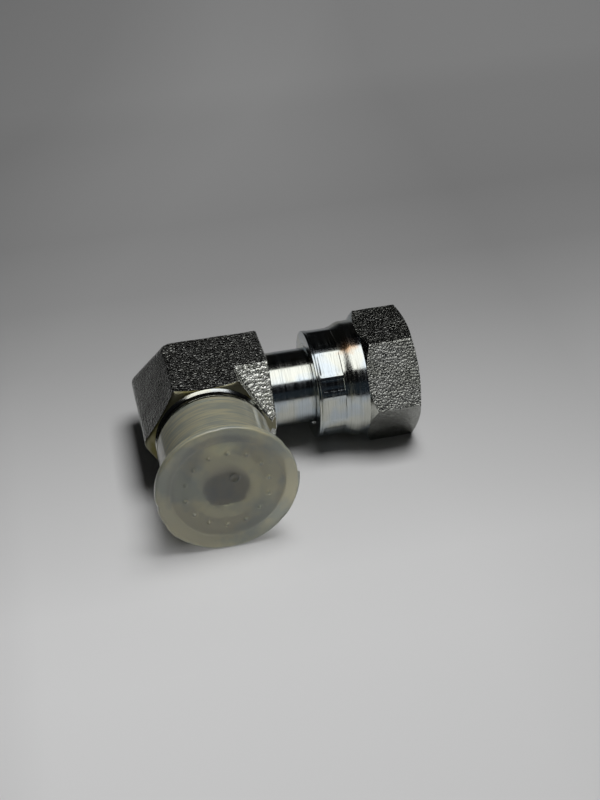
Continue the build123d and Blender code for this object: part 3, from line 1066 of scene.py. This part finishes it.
# %% [markdown]
# ## Light
#
# The bright bands on the neck and the nut are mirror images of one large soft panel. A normal that
# reflects the camera's line into the panel tells where it is: its front edge stands 47 degrees above
# the paper in front, and its back edge just behind straight up. The shadows, which are deep on the
# left and under the nut, come from a smaller lamp high on the right. One lamp for both would clip
# the bands, so the panel lights nothing and the smaller lamp isn't mirrored. Two fifths of its light
# pass through the cap, so the cap's shadow is as pale as that of real plastic. Another lamp in
# front gives small glints to the cap alone, and a faint cool light stands low in front.

# %% Lamps and room
def stand(thing, place, aim, roll=0.0):
    """Stands a lamp or a camera at `place`, faces it to `aim` and turns it by `roll` about that line."""
    thing.location = place
    thing.rotation_mode = "QUATERNION"
    level = (Vector(aim) - Vector(place)).to_track_quat("-Z", "Y")
    thing.rotation_quaternion = level @ Quaternion((0, 0, 1), roll)


def soft_lamp(name, place, aim, size, power, colour, unseen_by):
    """A rectangular lamp at `place` that faces `aim`; size is its width and its depth. It doesn't
    reach the rays that are named in `unseen_by`."""
    lamp = bpy.data.lights.new(name, "AREA")
    lamp.shape = "RECTANGLE"
    lamp.size, lamp.size_y = size
    lamp.energy = power
    lamp.color = colour
    holder = new_object(name, lamp)
    stand(holder, place, aim)
    for rays in unseen_by:
        setattr(holder, "visible_" + rays, False)
    return holder


lamp_height = 300 * mm
panel_front = -0.93 * lamp_height
panel_back = 0.083 * lamp_height
watts = {"panel": 0.69, "blocked": 0.58, "through_cap": 0.39, "glints": 0.55, "cool": 0.03}
white = (1, 1, 1)
sky_blue = (0.55, 0.78, 1.0)


def overhead_lamp(name, left, right, front, back, power, unseen_by):
    """A lamp that faces straight down from lamp_height, between two places in x and two in y."""
    middle = ((left + right) / 2, (front + back) / 2)
    place, aim, size = (*middle, lamp_height), (*middle, 0), (right - left, back - front)
    return soft_lamp(name, place, aim, size, power, white, unseen_by)


def only_cap(name):
    """A collection that holds the cap, for the lamps that treat it apart."""
    group = bpy.data.collections.new(name)
    group.objects.link(cap)
    return group


overhead_lamp("mirrored_panel", -160 * mm, 240 * mm, panel_front, panel_back, watts["panel"], ["diffuse"])

sides = (10 * mm, 155 * mm, -110 * mm, 50 * mm)
overhead_lamp("soft_lamp", *sides, watts["blocked"], ["glossy", "transmission"])
through_cap = overhead_lamp("soft_lamp_through_cap", *sides, watts["through_cap"], ["glossy", "transmission"])
see_through = only_cap("see_through")
through_cap.light_linking.blocker_collection = see_through
see_through.collection_objects[0].light_linking.link_state = "EXCLUDE"

sides = (-60 * mm, 60 * mm, -300 * mm, -180 * mm)
glint_lamp = overhead_lamp("glint_lamp", *sides, watts["glints"], ["diffuse", "transmission"])
glint_lamp.light_linking.receiver_collection = only_cap("glinting")

cool_place, cool_aim = (0, -700 * mm, 130 * mm), (0, 0, 130 * mm)
soft_lamp("cool_room", cool_place, cool_aim, (1400 * mm, 260 * mm), watts["cool"], sky_blue, [])

room = bpy.data.worlds.new("dim_room")
room.use_nodes = True
room.node_tree.nodes["Background"].inputs["Color"].default_value = (0.004, 0.004, 0.0045, 1)
bpy.context.scene.world = room
bpy.context.scene.view_settings.view_transform = "Standard"

# %% [markdown]
# ## Camera
#
# The camera stands where the photograph was taken from. Its place was found by laying the drawing's
# edges over the picture: 175 mm in front of the crossing of the port axes, 113 mm above it and
# 18 mm to its left, with a turn of 3.3 degrees. The lens is for a sensor that is 36 mm high.

# %% Camera
camera_place = Vector((-18.402, -175.350, 112.509)) * mm
camera_aim = Vector((14.399, -3.897, 0)) * mm
camera_roll = np.radians(-3.3395)
camera = bpy.data.cameras.new("photo_camera")
camera.lens = 62.551
camera.clip_start = 10 * mm
camera_object = new_object("photo_camera", camera)
stand(camera_object, camera_place, camera_aim, camera_roll)
bpy.context.scene.camera = camera_object
